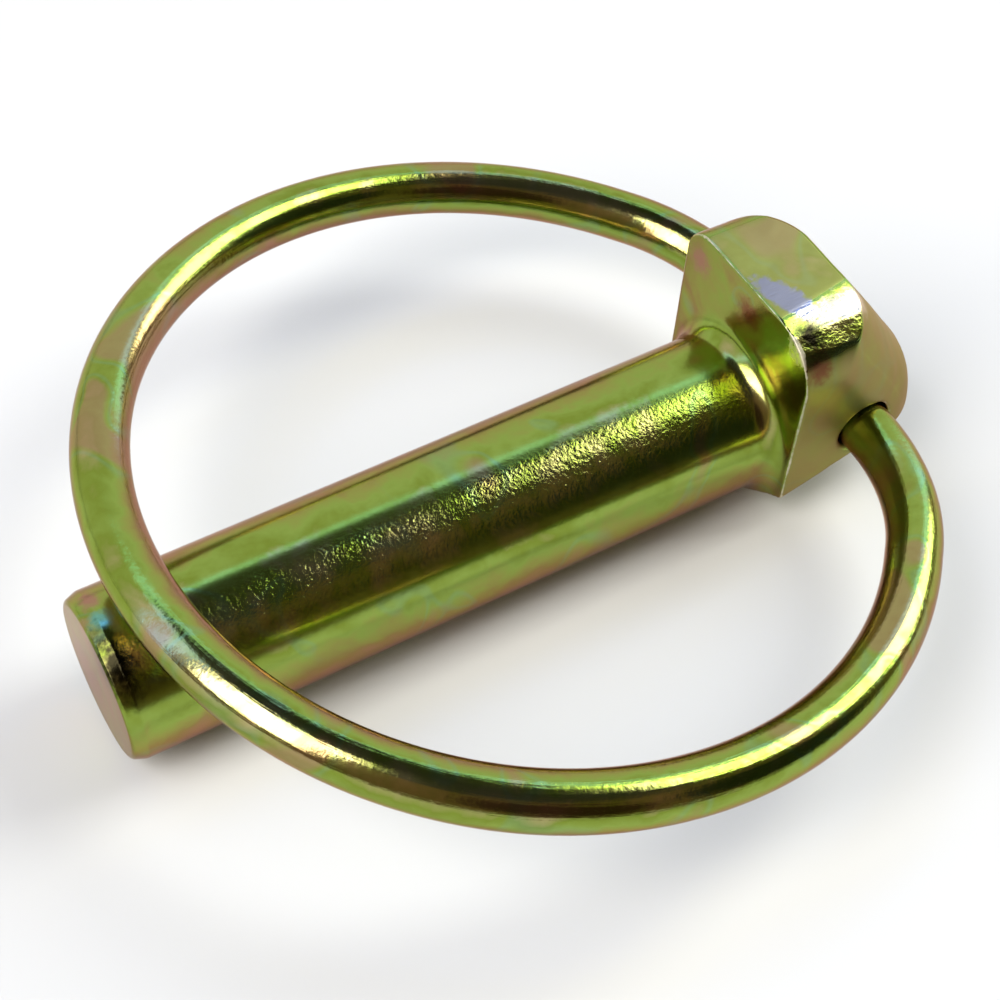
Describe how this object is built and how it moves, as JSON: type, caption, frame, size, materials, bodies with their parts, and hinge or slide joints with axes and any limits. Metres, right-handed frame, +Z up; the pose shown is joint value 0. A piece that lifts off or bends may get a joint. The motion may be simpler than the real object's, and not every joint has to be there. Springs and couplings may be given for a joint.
{
  "type": "lynch pin",
  "caption": "Lynch pin: plain round shank with a forged flat-sided head, and a hinged spring-wire ring that closes over the shank to keep it in its hole.",
  "frame": {"origin": "on the surface the part lies on, under the middle of its bounding box", "axes": "-X along the shank, from the head to the tip; +Y across, along the ring's hinge; +Z up, away from the surface, through the side the closed ring lies on"},
  "size_m": [0.0586, 0.0554, 0.0172],
  "materials": {
    "pin_plating": "yellow zinc plated forging, glossy with a fine grain",
    "ring_plating": "yellow zinc plated spring wire, glossy"
  },
  "bodies": {
    "pin": {"pin": "pin_plating"},
    "ring": {"ring": "ring_plating"}
  },
  "joints": [
    {"name": "ring_hinge", "type": "hinge", "parent": "pin", "child": "ring", "pos_m": [0.02292, 0, 0.0073], "axis": [0, 1, 0], "range_deg": [-1, 341]}
  ]
}
